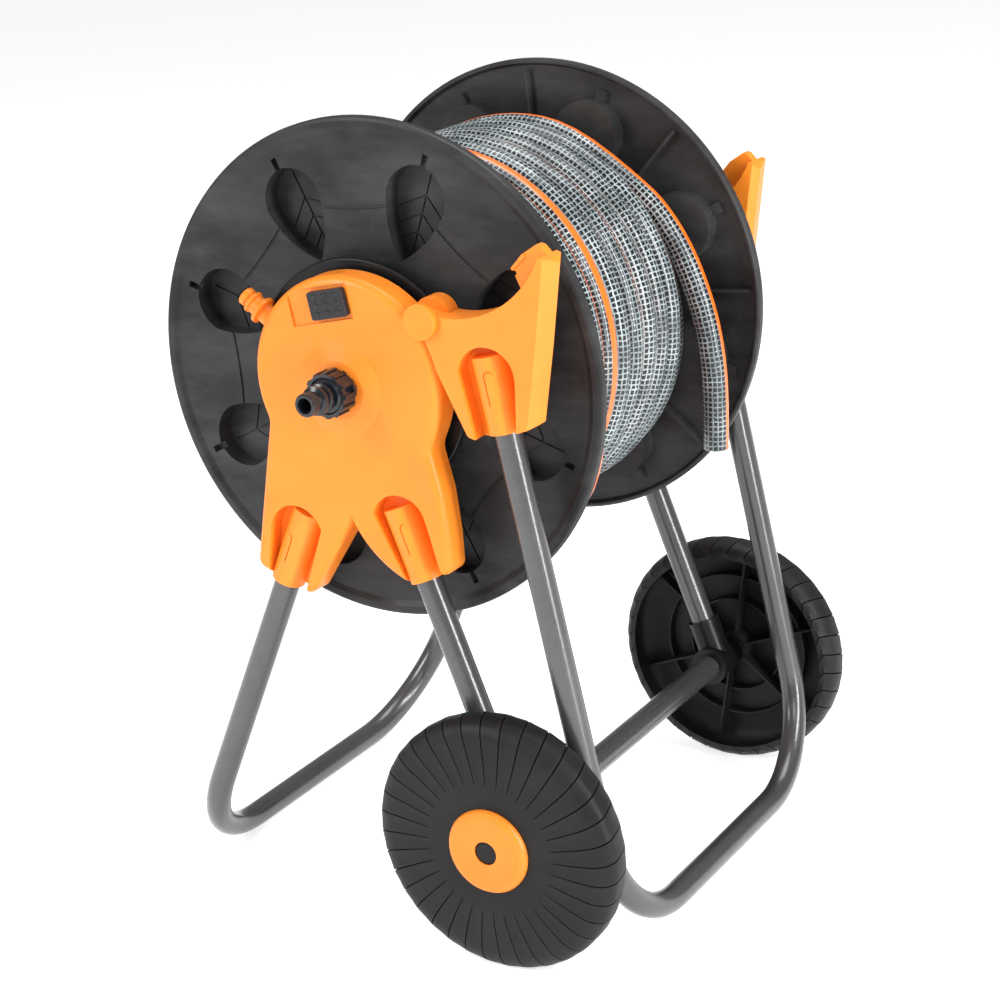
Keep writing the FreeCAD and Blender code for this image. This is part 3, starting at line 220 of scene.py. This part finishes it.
def add_cut_ends(line, verts, faces):
    """Both cut ends: the wall's ring and a short way into the bore."""
    for row, inward in ((0, 1), (len(line) - 1, -1)):
        p = line[row]
        tangent = (line[1] - line[0] if row == 0 else line[-1] - line[-2]).normalized() * inward
        ring = [verts[row * SIDES + k] for k in range(SIDES)]
        base = len(verts)
        scale = HOSE_BORE_R / HOSE_R
        for depth in (0.0, BORE_DEPTH):
            verts.extend(p + (v - p) * scale + tangent * depth for v in ring)
        outer = [row * SIDES + k for k in range(SIDES)]
        lip = [base + k for k in range(SIDES)]
        deep = [base + SIDES + k for k in range(SIDES)]
        for k in range(SIDES):
            n = (k + 1) % SIDES
            for quad in ((outer[n], outer[k], lip[k], lip[n]), (lip[n], lip[k], deep[k], deep[n])):
                faces.append(quad if inward == 1 else quad[::-1])
        faces.append(tuple(deep[::-1]) if inward == 1 else tuple(deep))


def tube_mesh(line):
    """The hose's mesh, with U round it from the stripe and V along it, and its length."""
    verts, faces, rings, length = tube_walls(line)
    ends = len(verts)
    add_cut_ends(line, verts, faces)
    mesh = bpy.data.meshes.new("garden_hose")
    mesh.from_pydata(verts, [], faces)
    layer = mesh.uv_layers.new(name="along")
    around = 2 * math.pi * HOSE_R / 1000
    for poly in mesh.polygons:
        rows = [v // SIDES for v in poly.vertices]
        sides = [v % SIDES for v in poly.vertices]
        wraps = SIDES - 1 in sides and 0 in sides
        for loop, vertex in zip(poly.loop_indices, poly.vertices):
            if vertex >= ends:
                layer.data[loop].uv = (0.25, 0.25)
                continue
            stripe, at = rings[vertex // SIDES]
            k = vertex % SIDES
            if wraps and k == 0:
                k = SIDES
            layer.data[loop].uv = (k / SIDES - stripe / (2 * math.pi), at / around)
        poly.use_smooth = max(rows) < len(line)
        poly.material_index = 0 if max(rows) < len(line) else 1
    return mesh, length


hose_line = spline_line(list(LEAD_ROUTE) + winding_points() + list(TAIL_ROUTE), POINTS_PER_SPAN)
hose_mesh, hose_length = tube_mesh(hose_line)
hose = link(bpy.data.objects.new("garden_hose", hose_mesh))
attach(hose, "reel")
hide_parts("hose_coil", "hose_tail", "hose_lead")


# ---------------------------------------------------------------- materials
class Nodes:
    """Short calls for building one material's node tree."""

    def __init__(self, name):
        self.material = bpy.data.materials.new(name)
        self.material.use_nodes = True
        self.tree = self.material.node_tree
        self.shader = self.tree.nodes["Principled BSDF"]
        self.coords = self.tree.nodes.new("ShaderNodeTexCoord")

    def new(self, kind, **values):
        node = self.tree.nodes.new(kind)
        for key, value in values.items():
            setattr(node, key, value)
        return node

    def join(self, a, b):
        self.tree.links.new(a, b)

    def put(self, socket, value):
        if hasattr(value, "is_linked"):
            self.join(value, socket)
        else:
            socket.default_value = value

    def math(self, operation, a, b=0.0, clamp=False):
        node = self.new("ShaderNodeMath", operation=operation, use_clamp=clamp)
        self.put(node.inputs[0], a)
        self.put(node.inputs[1], b)
        return node.outputs[0]

    def noise(self, scale, detail=3.0, rough=0.55, stretch=(1, 1, 1)):
        mapping = self.new("ShaderNodeMapping")
        mapping.inputs["Scale"].default_value = stretch
        self.join(self.coords.outputs["Object"], mapping.inputs["Vector"])
        node = self.new("ShaderNodeTexNoise")
        node.inputs["Scale"].default_value = scale
        node.inputs["Detail"].default_value = detail
        node.inputs["Roughness"].default_value = rough
        self.join(mapping.outputs[0], node.inputs["Vector"])
        return node.outputs["Fac"]

    def span(self, value, a, b, low, high):
        node = self.new("ShaderNodeMapRange", clamp=True)
        ends = {"Value": value, "From Min": a, "From Max": b, "To Min": low, "To Max": high}
        for name, v in ends.items():
            self.put(node.inputs[name], v)
        return node.outputs[0]

    def mix(self, factor, a, b, blend="MIX"):
        node = self.new("ShaderNodeMix", data_type="RGBA", blend_type=blend)
        self.put(node.inputs["Factor"], factor)
        self.put(node.inputs[6], a)
        self.put(node.inputs[7], b)
        return node.outputs[2]

    def bump(self, height, strength, distance, normal=None):
        node = self.new("ShaderNodeBump")
        node.inputs["Strength"].default_value = strength
        node.inputs["Distance"].default_value = distance
        self.join(height, node.inputs["Height"])
        if normal is not None:
            self.join(normal, node.inputs["Normal"])
        return node.outputs[0]

    def edges(self, low=0.52, high=0.62):
        geometry = self.new("ShaderNodeNewGeometry")
        return self.span(geometry.outputs["Pointiness"], low, high, 0.0, 1.0)

    def set(self, **values):
        names = {"color": "Base Color", "rough": "Roughness", "metal": "Metallic", "normal": "Normal",
                 "coat": "Coat Weight", "coat_rough": "Coat Roughness", "specular": "Specular IOR Level",
                 "sub": "Subsurface Weight"}
        for key, value in values.items():
            self.put(self.shader.inputs[names[key]], value)
        return self.material


def rgb(*c):
    return (*c, 1.0)


def moulded(name, color, rough, grain=700, grain_height=0.00006, mottled=0.12, worn=0.25, flow=0.0,
            specular=0.5):
    """Moulded plastic: fine grain, soft uneven gloss, paler rubbed edges and, with flow, wide flow marks."""
    n = Nodes(name)
    broad = n.noise(14, 4, 0.6)
    dark = rgb(*(c * (1 - mottled) for c in color))
    pale = rgb(*(min(1, c * (1 + mottled)) for c in color))
    shade = n.mix(n.span(broad, 0.3, 0.7, 0, 1), dark, pale)
    if flow:
        marks = n.noise(9, 5, 0.62, (1, 0.2, 2.6))
        pale_mark = rgb(*(min(1, c * 1.9 + 0.012) for c in color))
        shade = n.mix(n.span(marks, 0.42, 0.66, 0, flow), shade, pale_mark)
    scuffs = n.noise(160, 6, 0.75, (1, 1, 0.25))
    rubbed = n.math("MULTIPLY", n.edges(), n.span(scuffs, 0.35, 0.7, 0.2, 1))
    shade = n.mix(n.math("MULTIPLY", rubbed, worn), shade, rgb(*(min(1, c * 1.35 + 0.05) for c in color)))
    uneven = n.span(broad, 0.3, 0.7, rough - 0.04, rough + 0.05)
    gloss = n.math("ADD", uneven, n.span(scuffs, 0.5, 0.8, 0, 0.10))
    fine = n.bump(n.noise(grain, 2), 0.5, grain_height)
    wavy = n.bump(n.noise(32, 2), 0.25, 0.0007, fine)
    return n.set(color=shade, rough=gloss, normal=wavy, specular=specular)


def powder_coat():
    n = Nodes("grey_powder_coat")
    flake = n.noise(2600, 1)
    broad = n.noise(11, 4)
    shade = n.mix(n.span(broad, 0.3, 0.7, 0, 1), rgb(0.075, 0.075, 0.077), rgb(0.10, 0.10, 0.102))
    shade = n.mix(n.span(flake, 0.58, 0.75, 0, 0.4), shade, rgb(0.24, 0.24, 0.25))
    scratches = n.noise(260, 5, 0.8, (1, 1, 0.12))
    shade = n.mix(n.span(scratches, 0.66, 0.8, 0, 0.45), shade, rgb(0.05, 0.05, 0.05))
    gloss = n.span(broad, 0.3, 0.7, 0.24, 0.32)
    peel = n.bump(n.noise(420, 2), 0.35, 0.00012)
    return n.set(color=shade, rough=gloss, metal=0.55, normal=peel, coat=0.35, coat_rough=0.18)


def zinc():
    n = Nodes("zinc_plate")
    broad = n.noise(60, 4)
    shade = n.mix(n.span(broad, 0.35, 0.65, 0, 1), rgb(0.55, 0.55, 0.52), rgb(0.72, 0.71, 0.68))
    lines = n.noise(900, 3, 0.6, (1, 0.05, 1))
    gloss = n.span(lines, 0.3, 0.7, 0.22, 0.4)
    return n.set(color=shade, rough=gloss, metal=1.0, normal=n.bump(lines, 0.3, 0.00008))


def rubber():
    n = Nodes("seal_rubber")
    bloom = n.noise(300, 4)
    shade = n.mix(n.span(bloom, 0.4, 0.7, 0, 1), rgb(0.012, 0.012, 0.013), rgb(0.035, 0.035, 0.036))
    return n.set(color=shade, rough=n.span(bloom, 0.3, 0.7, 0.55, 0.75), normal=n.bump(bloom, 0.3, 0.00006))


CELLS_AROUND = 16


def braided_hose():
    """Clear skin over a pale net on a black core, with one coloured stripe along the hose."""
    n = Nodes("braided_hose")
    split = n.new("ShaderNodeSeparateXYZ")
    n.join(n.coords.outputs["UV"], split.inputs[0])
    wobble = n.noise(210, 3)
    shift = n.span(wobble, 0.3, 0.7, -0.12, 0.12)
    u = n.math("ADD", n.math("MULTIPLY", split.outputs[0], CELLS_AROUND), shift)
    v = n.math("ADD", n.math("MULTIPLY", split.outputs[1], CELLS_AROUND), shift)
    lines = []
    for value in (u, v):
        off = n.math("ABSOLUTE", n.math("SUBTRACT", n.math("FRACT", value), 0.5))
        lines.append(n.span(off, 0.335, 0.40, 0.0, 1.0))
    net = n.math("MAXIMUM", lines[0], lines[1])
    fibre = n.noise(900, 3)
    broken = n.math("MULTIPLY", net, n.span(fibre, 0.3, 0.6, 0.45, 1.0))
    thread = n.mix(n.span(n.noise(40, 3), 0.35, 0.65, 0, 1), rgb(0.20, 0.245, 0.26), rgb(0.52, 0.60, 0.62))
    shade = n.mix(broken, rgb(0.002, 0.0025, 0.003), thread)
    where = n.math("ABSOLUTE", n.math("SUBTRACT", n.math("FRACT", n.math("ADD", split.outputs[0], 0.5)), 0.5))
    stripe = n.span(where, 0.062, 0.070, 1.0, 0.0)
    shade = n.mix(stripe, shade, rgb(0.95, 0.17, 0.010))
    raised = n.bump(net, 0.5, 0.00025)
    return n.set(color=shade, rough=0.42, normal=raised, specular=0.25, coat=0.7, coat_rough=0.12)


def hose_cut():
    n = Nodes("hose_cut_face")
    cut = n.noise(1200, 3, 0.7, (1, 1, 0.2))
    shade = n.mix(n.span(cut, 0.35, 0.65, 0, 1), rgb(0.02, 0.021, 0.022), rgb(0.10, 0.11, 0.11))
    return n.set(color=shade, rough=0.5, normal=n.bump(cut, 0.4, 0.0001))


ORANGE = (0.93, 0.245, 0.018)
BLACK = (0.006, 0.006, 0.007)
FITTING = (0.010, 0.012, 0.016)
CHARCOAL = (0.020, 0.020, 0.021)
BUTTON_GREY = (0.018, 0.018, 0.021)
WHEEL_BLACK = (0.011, 0.0115, 0.012)
finishes = {
    "grey_painted_tube": powder_coat(),
    "zinc_steel": zinc(),
    "black_plastic": moulded("black_plastic", BLACK, 0.34, 900, specular=0.25),
    "orange_plastic": moulded("orange_plastic", ORANGE, 0.36, 800, 0.00003, 0.07, 0.12, 0.10, specular=0.35),
    "dark_fitting": moulded("dark_fitting", FITTING, 0.2, 1000, 0.00002, 0.1, 0.3),
    "seal_rubber": rubber(),
    "charcoal_plastic": moulded("charcoal_plastic", CHARCOAL, 0.38, 600, 0.00008, 0.30, 0.3, 1.0,
                                specular=0.2),
    "grey_button": moulded("grey_button", BUTTON_GREY, 0.42, 900, specular=0.35),
    "wheel_plastic": moulded("wheel_plastic", WHEEL_BLACK, 0.46, 500, 0.00010, 0.2, 0.35, 0.2,
                             specular=0.2),
}
slots = {row["node"]: row["material_slot"] for row in frame["record"]["subparts"]}
for name, node in NODES.items():
    finish = finishes.get(slots[name])
    if finish is None:
        continue
    node.data.materials.clear()
    node.data.materials.append(finish)
hose.data.materials.append(braided_hose())
hose.data.materials.append(hose_cut())

# ---------------------------------------------------------------- wheels
HUB_END_Y = 176.0
BORE_R, HUB_R = 4.1, 13
RING_RADII = (38.0, 58.0)
RING_POINTS = 96
RIBS, FIRST_RIB = 6, 20
SIPES = 36
SWELL, SWELL_RATE = 0.15, 36
# Degrees from the middle of a sipe to each column of vertices beside it.
SIPE_COLUMNS = (-5.0, -3.6, -2.2, -1.1, -0.38, 0.0, 0.38, 1.1, 2.2, 3.6)
# Outside of the wheel: radius, Y, depth of the sipes there, and how far they lean round, in degrees.
OUTER = (
    (4.1, 200.0, 0, 0), (30, 200.0, 0, 0), (42.5, 200.0, 0, 0), (46.0, 199.9, 0, 0), (49, 199.8, 0.9, 0),
    (58, 199.5, 1.2, 0.4), (67, 199.1, 1.2, 0.9), (76, 198.6, 1.3, 1.4), (80.5, 197.8, 1.4, 1.8),
    (84, 196.3, 1.5, 2.2), (86.5, 194.5, 1.6, 2.6), (88.4, 192.4, 1.7, 3.0), (89.6, 190, 1.7, 3.5),
    (90, 187.5, 1.7, 4.0), (90, 183, 1.7, 4.8), (89.7, 178.5, 1.8, 5.6), (88.2, 174, 2.0, 6.4),
    (86.2, 171, 2.3, 7.0), (83.2, 168.2, 2.5, 7.4),
)
# Inside of the wheel: radius and Y.
INNER = (
    (79, 168.2), (81.5, 174), (84, 180), (84, 187), (82, 190.5), (78, 193), (70, 195.8), (40, 196.4),
    (13, 196.8),
)
# Behind the tread the lean grows from none at LEAN_FROM_R to REAR_LEAN degrees, LEAN_OVER further out.
LEAN_FROM_R, LEAN_OVER, REAR_LEAN = 70, 20, 7.4


def wheel_mesh(side):
    """Wheel with moulded sipes over its face and tread; open behind, with rings, ribs and a hub tube."""
    verts, faces = [], []
    angles = [k * 360 / SIPES + c for k in range(SIPES) for c in SIPE_COLUMNS]
    count = len(angles)
    profile = list(OUTER)
    profile += [(r, y, 0, REAR_LEAN * max(0, (r - LEAN_FROM_R) / LEAN_OVER)) for r, y in INNER]
    profile += [(HUB_R, HUB_END_Y, 0, 0), (BORE_R, HUB_END_Y, 0, 0)]
    for row, (radius, y, depth, twist) in enumerate(profile):
        before, after = profile[max(row - 1, 0)], profile[min(row + 1, len(profile) - 1)]
        along = Vector((after[0] - before[0], after[1] - before[1])).normalized()
        normal = Vector((-along.y, along.x))
        for k, angle in enumerate(angles):
            column = SIPE_COLUMNS[k % len(SIPE_COLUMNS)]
            cut = depth if column == 0 else 0.0
            swell = SWELL * (depth > 0) * math.cos(math.radians(column * SWELL_RATE))
            a = math.radians(angle + twist)
            r = radius + normal.x * (swell - cut)
            yy = y + normal.y * (swell - cut)
            verts.append(place(AXLE_X + r * math.cos(a), side * yy, AXLE_Z + r * math.sin(a)))
    rows = len(profile)
    for row in range(rows):
        nxt = (row + 1) % rows
        for k in range(count):
            n = (k + 1) % count
            quad = (row * count + k, row * count + n, nxt * count + n, nxt * count + k)
            faces.append(quad if side > 0 else quad[::-1])
    for radius in RING_RADII:
        add_ring(verts, faces, radius, side)
    for k in range(RIBS):
        add_rib(verts, faces, math.radians(FIRST_RIB + 360 / RIBS * k), side)
    return verts, faces


def add_ring(verts, faces, radius, side):
    """Raised ring inside the wheel, standing on the back of its face."""
    base, count = len(verts), RING_POINTS
    section = ((radius - 0.7, 188.0), (radius + 0.7, 188.0), (radius + 1.1, 196.9), (radius - 1.1, 196.9))
    for r, y in section:
        for k in range(count):
            a = 2 * math.pi * k / count
            verts.append(place(AXLE_X + r * math.cos(a), side * y, AXLE_Z + r * math.sin(a)))
    for row in range(4):
        for k in range(count):
            n, nxt = (k + 1) % count, (row + 1) % 4
            here, there = base + row * count, base + nxt * count
            quad = (here + k, there + k, there + n, here + n)
            faces.append(quad if side < 0 else quad[::-1])


def add_rib(verts, faces, angle, side):
    """Flat rib from the hub to the inside of the tread."""
    base = len(verts)
    out = Vector((math.cos(angle), 0, math.sin(angle)))
    across = Vector((-math.sin(angle), 0, math.cos(angle)))
    for r, y, half in ((12.5, 181.5, 0.8), (79.5, 181.5, 0.8), (81.5, 191.2, 1.1), (12.5, 197.0, 1.1)):
        for sign in (-1, 1):
            p = out * r + across * half * sign
            verts.append(place(AXLE_X + p.x, side * y, AXLE_Z + p.z))
    quads = ((0, 2, 4, 6), (7, 5, 3, 1), (1, 3, 2, 0), (3, 5, 4, 2), (5, 7, 6, 4), (7, 1, 0, 6))
    faces.extend(tuple(base + i for i in (q if side > 0 else q[::-1])) for q in quads)


def add_wheel(name, side):
    """Treaded wheel in place of the plain CAD wheel."""
    verts, faces = wheel_mesh(side)
    mesh = bpy.data.meshes.new(name + "_treaded")
    mesh.from_pydata(verts, [], faces)
    mesh.polygons.foreach_set("use_smooth", [True] * len(faces))
    mesh.set_sharp_from_angle(angle=math.radians(42))
    obj = link(bpy.data.objects.new(name + "_treaded", mesh))
    obj.data.materials.append(finishes["wheel_plastic"])
    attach(obj, name)
    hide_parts(name)


add_wheel("wheel_near", -1)
add_wheel("wheel_far", 1)


# ---------------------------------------------------------------- lock springs
SPRING_START, SPRING_TILT = (-17.2, 444.5), 11.0
LOCK_CENTRE = (-3.0, 444.5)
SPRING_Y, SPRING_LENGTH, SPRING_TURNS, SPRING_R, WIRE_R = 160.6, 16.4, 6, 2.6, 0.42
STEPS_PER_TURN, WIRE_SIDES = 20, 8


def spring_point(along, out, sideways, side):
    """Point in the lock's own directions, from the spring's slider end back along its length."""
    tilt = math.radians(SPRING_TILT)
    x, z = SPRING_START[0] - along - LOCK_CENTRE[0], out
    return place(LOCK_CENTRE[0] + x * math.cos(tilt) - z * math.sin(tilt), side * SPRING_Y + sideways,
                 LOCK_CENTRE[1] + x * math.sin(tilt) + z * math.cos(tilt))


def add_spring(name, side):
    """Coil spring behind a lock slider, made at one fixed length and fixed to the frame."""
    verts, faces = [], []
    rows, around = SPRING_TURNS * STEPS_PER_TURN, WIRE_SIDES
    for row in range(rows + 1):
        part = row / rows
        turn = 2 * math.pi * SPRING_TURNS * part
        for k in range(around):
            phi = 2 * math.pi * k / around
            radius = SPRING_R + WIRE_R * math.cos(phi)
            along = WIRE_R + (SPRING_LENGTH - 2 * WIRE_R) * part + WIRE_R * math.sin(phi)
            verts.append(spring_point(along, radius * math.cos(turn), radius * math.sin(turn), side))
        if row:
            a, b = (row - 1) * around, row * around
            faces.extend((a + k, a + (k + 1) % around, b + (k + 1) % around, b + k) for k in range(around))
    faces.append(tuple(range(around))[::-1])
    faces.append(tuple(rows * around + k for k in range(around)))
    mesh = bpy.data.meshes.new(name + "_coil")
    mesh.from_pydata(verts, [], faces)
    mesh.polygons.foreach_set("use_smooth", [True] * len(faces))
    mesh.materials.append(finishes["zinc_steel"])
    spring = link(bpy.data.objects.new(name + "_coil", mesh))
    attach(spring, "frame")
    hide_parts(name)
    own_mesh(spring)


add_spring("lock_spring_near", -1)
add_spring("lock_spring_far", 1)

# ---------------------------------------------------------------- floor and lights
FLOOR = 30.0
FLOOR_GLOW, SKY_LIGHT = 0.62, 0.32


def add_floor():
    mesh = bpy.data.meshes.new("studio_floor")
    corners = [(-FLOOR, -FLOOR, 0), (FLOOR, -FLOOR, 0), (FLOOR, FLOOR, 0), (-FLOOR, FLOOR, 0)]
    mesh.from_pydata(corners, [], [(0, 1, 2, 3)])
    floor = link(bpy.data.objects.new("studio_floor", mesh))
    n = Nodes("pale_floor")
    paper = n.noise(5, 4)
    shade = n.mix(n.span(paper, 0.3, 0.7, 0, 1), rgb(0.86, 0.86, 0.86), rgb(0.88, 0.88, 0.88))
    n.put(n.shader.inputs["Emission Color"], rgb(1.0, 1.0, 1.0))
    n.put(n.shader.inputs["Emission Strength"], FLOOR_GLOW)
    mesh.materials.append(n.set(color=shade, rough=0.9, specular=0.1))


def add_area(name, at, aim, size, watts):
    data = bpy.data.lights.new(name, "AREA")
    data.shape = "RECTANGLE"
    data.size, data.size_y = size
    data.energy = watts
    lamp = link(bpy.data.objects.new(name, data))
    lamp.location = at
    lamp.rotation_euler = (Vector(at) - Vector(aim)).to_track_quat("Z", "Y").to_euler()


add_floor()
CENTRE = (0.0, 0.0, 0.28)
add_area("key_left", (-1.5, -2.2, 1.7), CENTRE, (0.8, 1.6), 46)
add_area("front_fill", (1.4, -2.4, 1.6), CENTRE, (0.9, 0.9), 12)
add_area("strip_right", (2.4, -0.6, 1.1), CENTRE, (0.30, 2.2), 60)
add_area("top_soft", (0.1, 0.5, 2.6), CENTRE, (1.6, 1.6), 38)
world = bpy.data.worlds.new("studio")
world.use_nodes = True
world.node_tree.nodes["Background"].inputs["Color"].default_value = (1, 1, 1, 1)
world.node_tree.nodes["Background"].inputs["Strength"].default_value = SKY_LIGHT
bpy.context.scene.world = world
bpy.context.scene.view_settings.view_transform = "Standard"
